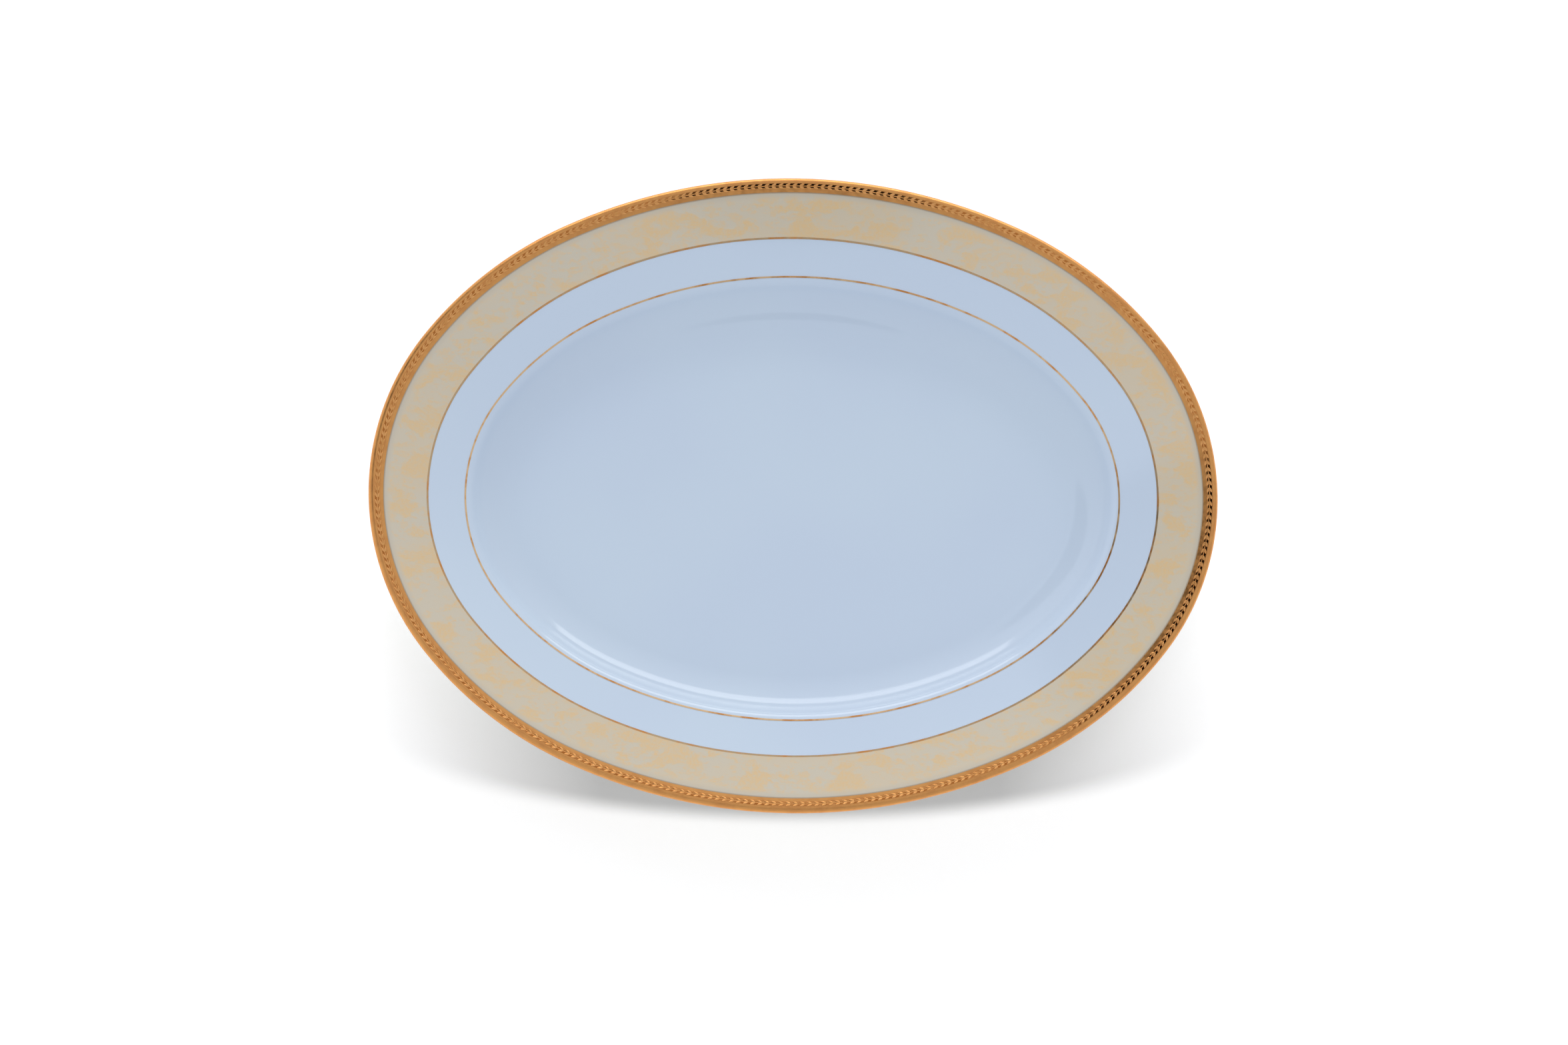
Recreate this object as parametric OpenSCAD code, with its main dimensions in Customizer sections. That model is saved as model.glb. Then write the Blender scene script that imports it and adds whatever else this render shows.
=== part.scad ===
// Oval serving platter in glazed porcelain, with an ivory band, a gold edge with a raised laurel,
// and two thin gold lines. Every coat and print is a closed solid that lies on the one under it.
// Millimetres, +Z up, standing on its foot ring, with the origin under its centre.
// Cross-sections are drawn as [inset, height]: inset is measured inwards from the outer edge.

/* [Overall size] */
// Length over the gold edge
platter_length = 355; // [300:5:430]
// Width over the gold edge
platter_width = 270; // [225:5:325]

/* [Rim] */
// Plan width of the rim, from its outer edge to the verge where the well begins
rim_width = 40; // [33:1:48]
// Slope of the rim just inside the lip
lip_slope = 18; // [15:0.5:22]
// Slope of the rim at the verge
verge_slope = 12.5; // [10:0.5:14.5]
// Thickness of the rounded lip
lip_thickness = 3.2; // [2.6:0.1:3.9]

/* [Well] */
// Radius of the rounded verge between the rim and the wall of the well
verge_radius = 6.5; // [5.6:0.1:8]
// Radius of the hollow wall of the well
wall_radius = 21; // [17:0.5:25]
// Steepest slope of the wall of the well
wall_slope = 56; // [46:1:64]
// Thickness of the wall and the floor
wall_thickness = 4.4; // [3.6:0.1:5.3]

/* [Foot ring] */
// Height of the foot ring below the floor's underside
foot_height = 3.2; // [2.6:0.1:4]
// Width of the foot ring
foot_width = 4.2; // [3.5:0.1:5.2]
// Distance of the foot ring's outer face outside the flat floor
foot_lead = 3.4; // [2.6:0.1:3.4]
// Radius where the foot ring meets the underside
foot_fillet = 1.8; // [1.4:0.1:2]
// Height of the bare, ground edge of the foot ring
bare_height = 0.9; // [0.7:0.1:1.2]
// Chamfer on the ground edge
foot_chamfer = 0.5; // [0.3:0.1:0.6]

/* [Coats] */
// Thickness of the clear glaze
glaze_thickness = 0.25; // [0.2:0.01:0.32]
// Thickness of the ivory ground
ground_thickness = 0.1; // [0.08:0.01:0.14]
// Thickness of the gold
gold_thickness = 0.1; // [0.08:0.01:0.14]

/* [Gold edge] */
// Width of the whole gold edge on the upper side
gold_width = 6.1; // [5.5:0.1:7.5]
// Width of the gold that wraps under the lip
gold_wrap = 1.6; // [1.2:0.1:2]
// Height of the two plain borders beside the laurel
border_height = 0.1; // [0.08:0.01:0.14]
// Width of the laurel between the two borders
laurel_width = 2.2; // [1.9:0.1:2.7]

/* [Laurel] */
// Distance from one pair of leaves to the next
leaf_pitch = 2.93; // [2.4:0.01:3.6]
// Width of a leaf
leaf_width = 1.05; // [0.8:0.05:1.25]
// Angle between a leaf and the stem
leaf_angle = 43; // [38:1:52]
// Height of the leaves above the gold
leaf_height = 0.2; // [0.16:0.01:0.25]
// Width of the stem
stem_width = 0.34; // [0.28:0.02:0.42]
// Height of the stem above the gold
stem_height = 0.16; // [0.12:0.01:0.2]

/* [Ivory band and gold lines] */
// Width of the ivory band
ivory_width = 18.1; // [15:0.1:22]
// Width of the gold line inside the ivory band
band_line_width = 0.8; // [0.6:0.05:1]
// Width of the gold line on the verge
verge_line_width = 0.7; // [0.55:0.05:0.9]

/* [Hidden] */
$fn = 180;

porcelain_colour = "#f2f0ea";
glaze_colour = "#f7f9fb";
ivory_colour = "#dccbb0";
gold_colour = "#d09a55";
leaf_colour = "#e3b878";

// The oval's outline: two end arcs, two side arcs and four arcs between them, all tangent.
// An arc between takes an ellipse's radius where its middle lies, and the radii of the end and
// side arcs then follow from the length and the width.
end_turn = 38;
side_turn = 65;
half_length = platter_length / 2;
half_width = platter_width / 2;
between_facing = (end_turn + side_turn) / 2;
between_radius = (half_length * half_width) ^ 2
    / norm([half_length * cos(between_facing), half_width * sin(between_facing)]) ^ 3;
length_left = half_length - between_radius * (cos(end_turn) - cos(side_turn));
width_left = half_width - between_radius * (sin(side_turn) - sin(end_turn));
turn_share = (1 - cos(end_turn)) * (1 - sin(side_turn)) - cos(side_turn) * sin(end_turn);
end_radius = (length_left * (1 - sin(side_turn)) - width_left * cos(side_turn)) / turn_share;
side_radius = ((1 - cos(end_turn)) * width_left - sin(end_turn) * length_left) / turn_share;
end_centre = [half_length - end_radius, 0];
side_centre = [0, half_width - side_radius];
between_centre = polar(end_centre, end_radius - between_radius, end_turn);

// Each arc is [centre, radius, first angle, angle turned through], anticlockwise from +X.
OVAL_ARCS = [
    [end_centre, end_radius, -end_turn, 2 * end_turn],
    [between_centre, between_radius, end_turn, side_turn - end_turn],
    [side_centre, side_radius, side_turn, 180 - 2 * side_turn],
    [flip(between_centre, -1, 1), between_radius, 180 - side_turn, side_turn - end_turn],
    [-end_centre, end_radius, 180 - end_turn, 2 * end_turn],
    [-between_centre, between_radius, 180 + end_turn, side_turn - end_turn],
    [-side_centre, side_radius, 180 + side_turn, 180 - 2 * side_turn],
    [flip(between_centre, 1, -1), between_radius, 360 - side_turn, side_turn - end_turn]];

// The section, from the lip inwards. A slope is positive where the surface falls inwards.
lip_radius = lip_thickness / 2;
lip_reach = lip_radius + glaze_thickness + gold_thickness;
lip_top_inset = lip_reach + lip_radius * sin(lip_slope);
rim_radius = (rim_width - lip_top_inset) / (sin(lip_slope) - sin(verge_slope));
rim_drop = rim_radius * (cos(verge_slope) - cos(lip_slope));
verge_drop = verge_radius * (cos(verge_slope) - cos(wall_slope));
wall_drop = wall_radius * (1 - cos(wall_slope));
floor_under = foot_height;
floor_top = floor_under + wall_thickness;
lip_top = floor_top + wall_drop + verge_drop + rim_drop;
lip_centre = [lip_reach, lip_top - lip_radius * cos(lip_slope)];
rim_centre = polar(lip_centre, lip_radius + rim_radius, 90 - lip_slope);
verge_centre = polar(rim_centre, rim_radius + verge_radius, 270 - verge_slope);
wall_centre = polar(verge_centre, verge_radius + wall_radius, 90 - wall_slope);

// Under the rim a straight line is tangent to the lip and to the underside of the verge.
under_verge_radius = verge_radius - wall_thickness;
under_run = verge_centre - lip_centre;
under_slope = atan2(-under_run.y, under_run.x)
    - asin((lip_radius + under_verge_radius) / norm(under_run));
under_wall_radius = wall_radius + wall_thickness;

// The foot ring and the fillets on its two sides.
foot_out = wall_centre.x - foot_lead;
foot_in = foot_out + foot_width;
fillet_inset = foot_out - foot_fillet;
fillet_reach = under_wall_radius + foot_fillet;
fillet_height = wall_centre.y - sqrt(fillet_reach ^ 2 - (wall_centre.x - fillet_inset) ^ 2);
fillet_centre = [fillet_inset, fillet_height];
fillet_turn = atan2(wall_centre.y - fillet_height, wall_centre.x - fillet_inset);
panel_centre = [foot_in + foot_fillet, floor_under - foot_fillet];

// The swept ring ends on the flat floor, and a slab that overlaps it fills the middle.
slab_clearance = 0.5;
slab_overlap = 1.5;
slab_inset = foot_in + foot_fillet + slab_clearance;
ring_inset = slab_inset + slab_overlap;
slab_steps = 12;

// How many straight steps each arc of the section has.
lip_steps = 8;
rim_steps = 14;
verge_steps = 9;
wall_steps = 12;
under_lip_steps = 6;
under_verge_steps = 6;
under_wall_steps = 9;
fillet_steps = 6;

// Heights above the porcelain of the tops of the coats.
glaze_level = glaze_thickness;
ground_level = glaze_level + ground_thickness;
gold_level = glaze_level + gold_thickness;

// The laurel runs from just inside the rounded lip to the inner border.
laurel_clearance = 0.05;
laurel_start = lip_top_inset + laurel_clearance;
laurel_middle = laurel_start + laurel_width / 2;
laurel_end = laurel_start + laurel_width;
lip_border_start = lip_reach;
ivory_end = gold_width + ivory_width;
verge_line_lead = 0.1;
verge_line_start = rim_width + verge_line_lead;

// A leaf reaches from the stem to a border, and its root is cut off square at the stem.
leaf_reach = (laurel_width - stem_width) / 2;
leaf_end_gap = 0.03;
leaf_run = leaf_reach - leaf_end_gap;
leaf_half_girth = leaf_width / sin(leaf_angle) / 2;
leaf_shares = [0, 0.3, 0.7, 1];
leaf_fullness = [0.7, 1, 1, 0.6];

// Where the first pair of leaves on an arc stands, as a share of one pitch.
first_leaf = 0.55;

function flip(point, across, along) = [point.x * across, point.y * along];
function polar(centre, radius, angle) = centre + radius * [cos(angle), sin(angle)];
function arc(centre, radius, first, last, steps) =
    [for (i = [0 : steps]) polar(centre, radius, first + (last - first) * i / steps)];
function reversed(points) = [for (i = [len(points) - 1 : -1 : 0]) points[i]];

// The underside at a level above the porcelain, from the foot ring out to the edge of the lip
function under_skin(level) = concat(
    [[foot_out - level, bare_height]],
    arc(fillet_centre, foot_fillet - level, 0, fillet_turn, fillet_steps),
    arc(wall_centre, under_wall_radius + level, fillet_turn + 180, 270 - wall_slope,
        under_wall_steps),
    arc(verge_centre, under_verge_radius - level, 90 - wall_slope, 90 - under_slope,
        under_verge_steps),
    arc(lip_centre, lip_radius + level, 270 - under_slope, 180, under_lip_steps));

// The upper side at a level above the porcelain, from the edge of the lip in to the flat floor
function upper_skin(level) = concat(
    arc(lip_centre, lip_radius + level, 180, 90 - lip_slope, lip_steps),
    arc(rim_centre, rim_radius - level, 270 - lip_slope, 270 - verge_slope, rim_steps),
    arc(verge_centre, verge_radius + level, 90 - verge_slope, 90 - wall_slope, verge_steps),
    arc(wall_centre, wall_radius - level, 270 - wall_slope, 270, wall_steps),
    [[ring_inset, floor_top + level]]);

// The underside inside the foot ring, from the foot ring in to the flat floor
function panel_skin(level) = concat(
    [[foot_in + level, bare_height]],
    arc(panel_centre, foot_fillet - level, 180, 90, fillet_steps),
    [[ring_inset, floor_under - level]]);

// The ground edge of the foot ring, from its inner side to its outer side
foot_edge = [
    [foot_in, foot_chamfer],
    [foot_in - foot_chamfer, 0],
    [foot_out + foot_chamfer, 0],
    [foot_out, foot_chamfer]];

// Moves in a coarse and a fine step, so that no digit is lost and neighbouring arcs meet exactly
module move_to(place) {
    coarse = [for (size = place) round(size * 1000) / 1000];
    translate(coarse)
    translate(place - coarse)
    children();
}

// Sweeps a section round one arc of the oval
module sweep_along(a) {
    move_to(a[0])
    rotate_extrude(angle = a[3], start = a[2])
    move_to([a[1], 0])
    mirror([1, 0])
    children();
}

// Sweeps a section round the whole oval
module round_the_oval() {
    for (a = OVAL_ARCS)
        sweep_along(a)
        children();
}

// Sweeps a section round the whole oval, and joins it to a flat slab that fills the middle
module round_and_across(bottom, thickness) {
    for (i = [-1 : len(OVAL_ARCS) - 1])
        if (i < 0)
            middle_slab(bottom, thickness);
        else
            sweep_along(OVAL_ARCS[i])
            children();
}

// A flat oval slab for the middle of the floor
module middle_slab(bottom, thickness) {
    translate([0, 0, bottom])
    linear_extrude(thickness)
    polygon([for (a = OVAL_ARCS, i = [0 : slab_steps - 1])
        polar(a[0], a[1] - slab_inset, a[2] + a[3] * (i + 0.5) / slab_steps)]);
}

// The section of a coat on the upper side, between two levels and between two insets
module upper_coat(low, high, start, end) {
    intersection() {
        polygon(concat(upper_skin(low), reversed(upper_skin(high))));
        translate([start, 0])
        square([end - start, 2 * lip_top]);
    }
}

// The section of a coat on the underside, from the edge of the lip to an inset
module under_coat(low, high, end) {
    intersection() {
        polygon(concat(under_skin(low), reversed(under_skin(high))));
        square([end, 2 * lip_top]);
    }
}

module porcelain_body() {
    color(porcelain_colour)
    round_and_across(floor_under, wall_thickness)
    polygon(concat(under_skin(0), upper_skin(0), reversed(panel_skin(0)), foot_edge));
}

module glaze_coat() {
    color(glaze_colour)
    round_and_across(floor_top, glaze_thickness)
    polygon(concat(under_skin(0), upper_skin(0),
        reversed(upper_skin(glaze_level)), reversed(under_skin(glaze_level))));
}

module foot_panel_glaze() {
    color(glaze_colour)
    round_and_across(floor_under - glaze_thickness, glaze_thickness)
    polygon(concat(panel_skin(0), reversed(panel_skin(glaze_level))));
}

module ivory_ground_band() {
    color(ivory_colour)
    round_the_oval()
    upper_coat(glaze_level, ground_level, gold_width, ivory_end);
}

module gold_edge_band() {
    color(gold_colour)
    round_the_oval() {
        upper_coat(glaze_level, gold_level, 0, gold_width);
        under_coat(glaze_level, gold_level, gold_wrap);
    }
}

module gold_lip_border() {
    color(gold_colour)
    round_the_oval()
    upper_coat(gold_level, gold_level + border_height, lip_border_start, laurel_start);
}

module gold_inner_border() {
    color(gold_colour)
    round_the_oval()
    upper_coat(gold_level, gold_level + border_height, laurel_end, gold_width);
}

module laurel_stem() {
    color(leaf_colour)
    round_the_oval()
    upper_coat(gold_level, gold_level + stem_height,
        laurel_middle - stem_width / 2, laurel_middle + stem_width / 2);
}

// One leaf, growing from the stem's side at [0, 0] out along +X and back along -Y
module leaf() {
    middle = [for (t = leaf_shares) [t * leaf_run, -t * leaf_run / tan(leaf_angle)]];
    half = [for (fullness = leaf_fullness) [0, fullness * leaf_half_girth]];
    linear_extrude(leaf_height)
    polygon(concat(middle + half, reversed(middle - half)));
}

// A row of leaves round the oval, on the outer side (1) or the inner side (-1) of the stem
module leaf_row(side) {
    reach = rim_radius - gold_level;
    tilt = asin((rim_centre.x - laurel_middle) / reach);
    height = rim_centre.y - reach * cos(tilt);
    for (a = OVAL_ARCS) {
        radius = a[1] - laurel_middle;
        count = round(a[3] * PI / 180 * radius / leaf_pitch);
        for (i = [0 : count - 1])
            translate(a[0])
            rotate([0, 0, a[2] + a[3] * (i + first_leaf) / count])
            translate([radius, 0, height])
            rotate([0, -tilt, 0])
            mirror([side < 0 ? 1 : 0, 0, 0])
            translate([stem_width / 2, 0, 0])
            leaf();
    }
}

module outer_laurel_leaves() {
    color(leaf_colour)
    leaf_row(1);
}

module inner_laurel_leaves() {
    color(leaf_colour)
    leaf_row(-1);
}

module band_gold_line() {
    color(gold_colour)
    round_the_oval()
    upper_coat(glaze_level, gold_level, ivory_end, ivory_end + band_line_width);
}

module verge_gold_line() {
    color(gold_colour)
    round_the_oval()
    upper_coat(glaze_level, gold_level, verge_line_start, verge_line_start + verge_line_width);
}

porcelain_body();
glaze_coat();
foot_panel_glaze();
ivory_ground_band();
gold_edge_band();
gold_lip_border();
gold_inner_border();
laurel_stem();
outer_laurel_leaves();
inner_laurel_leaves();
band_gold_line();
verge_gold_line();
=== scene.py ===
"""An oval porcelain serving platter with an ivory band, a gold edge with a raised laurel, and gold lines.

Lengths are in metres and angles in radians, in the platter's own frame: it stands on its foot ring at
z = 0, with its length along X. A cross-section is drawn as (inset, height), and inset is measured
inwards from the outer edge.
"""

from math import asin, atan2, cos, pi, radians, sin, sqrt, tan

import bmesh
import bpy
from bpy.props import FloatProperty, FloatVectorProperty, PointerProperty
from mathutils import Matrix, Vector


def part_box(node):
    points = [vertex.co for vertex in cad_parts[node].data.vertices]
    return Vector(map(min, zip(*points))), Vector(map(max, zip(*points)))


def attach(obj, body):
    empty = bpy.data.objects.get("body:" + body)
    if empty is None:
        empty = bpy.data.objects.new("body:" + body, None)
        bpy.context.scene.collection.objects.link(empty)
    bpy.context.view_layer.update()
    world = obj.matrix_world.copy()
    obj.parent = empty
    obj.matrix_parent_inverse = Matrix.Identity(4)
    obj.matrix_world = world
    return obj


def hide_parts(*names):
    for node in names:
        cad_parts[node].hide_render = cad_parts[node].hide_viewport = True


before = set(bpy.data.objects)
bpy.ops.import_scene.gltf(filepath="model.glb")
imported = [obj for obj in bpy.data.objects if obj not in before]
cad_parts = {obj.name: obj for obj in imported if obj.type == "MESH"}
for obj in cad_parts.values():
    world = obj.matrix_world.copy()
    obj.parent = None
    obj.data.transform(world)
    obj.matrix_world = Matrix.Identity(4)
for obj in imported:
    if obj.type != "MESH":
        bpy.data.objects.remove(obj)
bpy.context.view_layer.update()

bl_info = {
    "name": "Oval Serving Platter",
    "version": (1, 0, 0),
    "blender": (4, 5, 0),
    "location": "View3D > Sidebar > Platter",
    "description": "Models an oval porcelain platter with a marbled band and a gold laurel edge",
    "category": "Add Mesh",
}

MM = 0.001
EDGE_LOW, EDGE_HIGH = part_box("gold_edge_band")

# How far round the oval one step of a sweep goes, and how close vertices are when they are merged.
SWEEP_STEP = radians(1.5)
MERGE_DISTANCE = 0.004 * MM
SMOOTH_ANGLE = radians(32)
ANGLE_SLACK = radians(0.001)

# The attribute that says how near the ivory lies to the gold edge, and the width of the greyer strip
# beside that edge.
NEAR_GOLD = "near_gold"
GREY_STRIP = 4 * MM

# The direction in which the sky gets brighter, along the floor.
SKY_AXIS = (-0.9, 0.35, 0)

# Dark cards that the polished gold reflects: the direction of each one and half its spread. A card
# leaves that share of the sky's light, and its border lies between those two shares of its spread.
DARK_CARDS = (((0.06, -0.40, 0.91), radians(8)), ((-0.42, 0.40, 0.81), radians(17)))
CARD_LIGHT = 0.015
CARD_BORDER = (0.9, 1.15)

# The soft light beyond the platter's far side: where it stands, and its size.
SOFTBOX_PLACE = (0.3, 2.8, 0.6)
SOFTBOX_SIZE = (3.0, 1.0)

# The floor's paint, and the tint of the light that it gives off.
FLOOR_PAINT = (0.9, 0.9, 0.9)
FLOOR_TINT = (1.0, 0.91, 0.76)

# The oval of shade on the floor: its centre, its reach along X and Y, how dark it gets, and between
# which shares of its reach it fades, at its border and towards its two ends.
SHADE_CENTRE = (3 * MM, -72 * MM)
SHADE_REACH = (208 * MM, 61.5 * MM)
SHADE_DEPTH = 0.5
SHADE_BORDER = (0.91, 1.05)
SHADE_ENDS = (0.40, 0.86)


def length(name, description, millimetres):
    """A length that the user can change."""
    return FloatProperty(name=name, description=description, default=millimetres * MM,
                         unit="LENGTH", precision=5)


def turn(name, description, degrees):
    """An angle that the user can change."""
    return FloatProperty(name=name, description=description, default=radians(degrees),
                         unit="ROTATION", precision=3)


def colour(name, description, red, green, blue):
    """A colour that the user can change."""
    return FloatVectorProperty(name=name, description=description, default=(red, green, blue),
                               subtype="COLOR", size=3, min=0, max=1)


def share(name, description, amount):
    """A share from 0 to 1 that the user can change."""
    return FloatProperty(name=name, description=description, default=amount,
                         subtype="FACTOR", min=0, max=1)


class PlatterSizes(bpy.types.PropertyGroup):
    """The platter's sizes."""
    length: length("Length", "Length over the gold edge", (EDGE_HIGH.x - EDGE_LOW.x) / MM)
    width: length("Width", "Width over the gold edge", (EDGE_HIGH.y - EDGE_LOW.y) / MM)
    end_turn: turn("End arc", "Half the turn of the arc at each end", 38)
    side_turn: turn("Side arc start", "Direction in which the arc along each side starts", 65)
    rim_width: length("Rim width", "From the outer edge to the verge of the well", 40)
    lip_slope: turn("Lip slope", "Slope of the rim just inside the lip", 18)
    verge_slope: turn("Verge slope", "Slope of the rim at the verge", 12.5)
    lip_thickness: length("Lip thickness", "Thickness of the rounded lip", 3.2)
    verge_radius: length("Verge radius", "Radius between the rim and the wall of the well", 6.5)
    wall_radius: length("Wall radius", "Radius of the hollow wall of the well", 21)
    wall_slope: turn("Wall slope", "Steepest slope of the wall of the well", 56)
    wall_thickness: length("Wall thickness", "Thickness of the wall and the floor", 4.4)
    foot_height: length("Foot height", "Height of the foot ring", 3.2)
    foot_width: length("Foot width", "Width of the foot ring", 4.2)
    foot_lead: length("Foot lead", "How far the foot ring lies outside the flat floor", 3.4)
    foot_fillet: length("Foot fillet", "Radius where the foot ring meets the underside", 1.8)
    bare_height: length("Bare height", "Height of the bare, ground edge of the foot", 0.9)
    foot_chamfer: length("Foot chamfer", "Chamfer on the ground edge", 0.5)
    glaze: length("Glaze", "Thickness of the clear glaze", 0.25)
    ground: length("Ivory ground", "Thickness of the ivory ground", 0.1)
    gold: length("Gold", "Thickness of the gold", 0.1)
    gold_width: length("Gold width", "Width of the gold edge on the upper side", 6.1)
    gold_wrap: length("Gold wrap", "Width of the gold under the lip", 1.6)
    border: length("Border height", "Height of the borders beside the laurel", 0.1)
    laurel_width: length("Laurel width", "Width of the laurel between its borders", 2.2)
    leaf_pitch: length("Leaf pitch", "From one pair of leaves to the next", 2.93)
    leaf_width: length("Leaf width", "Width of a leaf", 1.05)
    leaf_angle: turn("Leaf angle", "Angle between a leaf and the stem", 43)
    leaf_height: length("Leaf height", "Height of the leaves above the gold", 0.2)
    stem_width: length("Stem width", "Width of the stem", 0.34)
    stem_height: length("Stem height", "Height of the stem above the gold", 0.16)
    ivory_width: length("Ivory width", "Width of the ivory band", 18.1)
    band_line: length("Band line width", "Width of the gold line inside the ivory band", 0.8)
    verge_line: length("Verge line width", "Width of the gold line on the verge", 0.7)


class PlatterFinishes(bpy.types.PropertyGroup):
    """The platter's colours and finishes."""
    glaze_white: colour("Glaze white", "White china under the clear glaze", 0.73, 0.815, 0.89)
    glaze_shade: colour("Glaze shade", "Where the white is a little deeper", 0.71, 0.79, 0.88)
    bare_china: colour("Bare china", "Unglazed foot edge", 0.66, 0.63, 0.58)
    foot_grime: colour("Foot wear", "Grey wear on the unglazed foot edge", 0.34, 0.32, 0.29)
    ivory: colour("Ivory", "Ground colour of the band", 0.795, 0.645, 0.445)
    ivory_pale: colour("Pale ivory", "Paler clouds in the ground", 0.765, 0.65, 0.48)
    ivory_edge: colour("Ivory edge", "Greyer ground beside the gold", 0.70, 0.60, 0.455)
    # Painted shade: a thin brown line painted on the ivory along the gold, in place of the shade under
    # the raised gold edge.
    gold_edge_shade: colour("Gold fringe", "Brown fringe along the gold", 0.36, 0.23, 0.11)
    peach: colour("Peach", "Sponged blotches on the ground", 0.89, 0.61, 0.31)
    gold: colour("Satin gold", "Gold on the lip and the borders", 0.77, 0.35, 0.105)
    gold_worn: colour("Worn gold", "Slightly rubbed gold", 0.70, 0.30, 0.09)
    # Partly painted shade: the gold between the leaves really is more polished, and its colour is also
    # darkened as painted shade for the hollow between the leaves.
    shaded_polished_gold: colour("Bright gold", "Polished gold between the leaves", 0.48, 0.165, 0.035)
    laurel: colour("Laurel gold", "Gold of the leaves and the stem", 0.86, 0.41, 0.135)
    line_gold: colour("Line gold", "Gold of the line beside the ivory band", 0.60, 0.41, 0.23)
    verge_gold: colour("Verge gold", "Gold of the line on the verge", 0.86, 0.56, 0.30)
    gold_roughness: share("Gold roughness", "How satin the lip and the borders are", 0.34)
    bright_roughness: share("Bright gold roughness", "How satin the gold between the leaves is", 0.07)
    laurel_roughness: share("Laurel roughness", "How satin the raised laurel is", 0.40)
    glaze_roughness: share("Glaze roughness", "How soft the glaze's reflections are", 0.10)


class StageSettings(bpy.types.PropertyGroup):
    """The floor, the light and the camera."""
    floor_radius: FloatProperty(name="Floor radius", description="Radius of the studio floor",
                                default=14, unit="LENGTH")
    floor_glow: share("Floor glow", "Light that the pale floor gives off itself", 0.44)
    sky: colour("Sky", "Colour of the soft light all round", 0.74, 0.80, 0.90)
    near_light: FloatProperty(name="Near light", description="Strength of the sky at the near right",
                              default=0.84, subtype="FACTOR", min=0, max=4)
    far_light: FloatProperty(name="Far light", description="Strength of the sky at the far left",
                             default=1.11, subtype="FACTOR", min=0, max=4)
    softbox_power: FloatProperty(name="Softbox power", description="Power of the far soft light",
                                 default=24, unit="POWER")
    camera_distance: FloatProperty(name="Camera distance", description="From the lip's plane",
                                   default=3, unit="LENGTH")
    camera_tilt: turn("Camera tilt", "How far the camera leans back from straight above", 11.01)
    camera_yaw: turn("Camera yaw", "How far the camera stands to the side", -4.22)
    camera_roll: turn("Camera roll", "Turn of the picture", -0.78)
    camera_across: length("Camera across", "Camera's move along its own X", -4.65)
    camera_up: length("Camera up", "Camera's move along its own Y", -12.6)
    camera_lens: FloatProperty(name="Lens", description="Focal length in millimetres",
                               default=165.3, unit="CAMERA")


# ---------------------------------------------------------------- the oval and the section

def polar(centre, radius, angle):
    """The point at that radius and angle from a centre, in two dimensions."""
    return Vector((centre[0] + radius * cos(angle), centre[1] + radius * sin(angle)))


def arc(centre, radius, first, last, steps):
    """Points along an arc, both ends included."""
    return [polar(centre, radius, first + (last - first) * i / steps) for i in range(steps + 1)]


def clip(points, start, end):
    """The part of a line between two insets, for a line whose inset grows all the way."""
    kept = []
    for a, b in zip(points, points[1:]):
        for edge in (start, end):
            if a.x < edge < b.x:
                kept.append(a.lerp(b, (edge - a.x) / (b.x - a.x)))
        if start <= b.x <= end:
            kept.append(b)
    return kept


class Oval:
    """The outline: two end arcs, two side arcs and four arcs between them, all tangent."""

    def __init__(self, sizes):
        along, across = sizes.length / 2, sizes.width / 2
        end, side = sizes.end_turn, sizes.side_turn
        middle = (end + side) / 2
        between = (along * across) ** 2 / Vector((along * cos(middle), across * sin(middle))).length ** 3
        length_left = along - between * (cos(end) - cos(side))
        width_left = across - between * (sin(side) - sin(end))
        turn_share = (1 - cos(end)) * (1 - sin(side)) - cos(side) * sin(end)
        end_radius = (length_left * (1 - sin(side)) - width_left * cos(side)) / turn_share
        side_radius = ((1 - cos(end)) * width_left - sin(end) * length_left) / turn_share
        right = Vector((along - end_radius, 0))
        top = Vector((0, across - side_radius))
        corner = polar(right, end_radius - between, end)
        flipped = Vector((-corner.x, corner.y))
        # Each arc is (centre, radius, first angle, angle turned through), anticlockwise from +X.
        self.arcs = [
            (right, end_radius, -end, 2 * end),
            (corner, between, end, side - end),
            (top, side_radius, side, pi - 2 * side),
            (flipped, between, pi - side, side - end),
            (-right, end_radius, pi - end, 2 * end),
            (-corner, between, pi + end, side - end),
            (-top, side_radius, pi + side, pi - 2 * side),
            (-flipped, between, 2 * pi - side, side - end),
        ]

    def inset(self, spot):
        """How far inside the outer edge a place lies."""
        x, y = abs(spot[0]), abs(spot[1])
        for centre, radius, first, turned in self.arcs[:3]:
            if atan2(y - centre.y, x - centre.x) <= first + turned + ANGLE_SLACK:
                return radius - Vector((x - centre.x, y - centre.y)).length
        raise ValueError("no arc of the oval faces that place")

    def place(self, point):
        """Where a point of the section lies, on the line where the first arc starts."""
        centre, radius, first, _ = self.arcs[0]
        spot = polar(centre, radius - point.x, first)
        return Vector((spot.x, spot.y, point.y))


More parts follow.
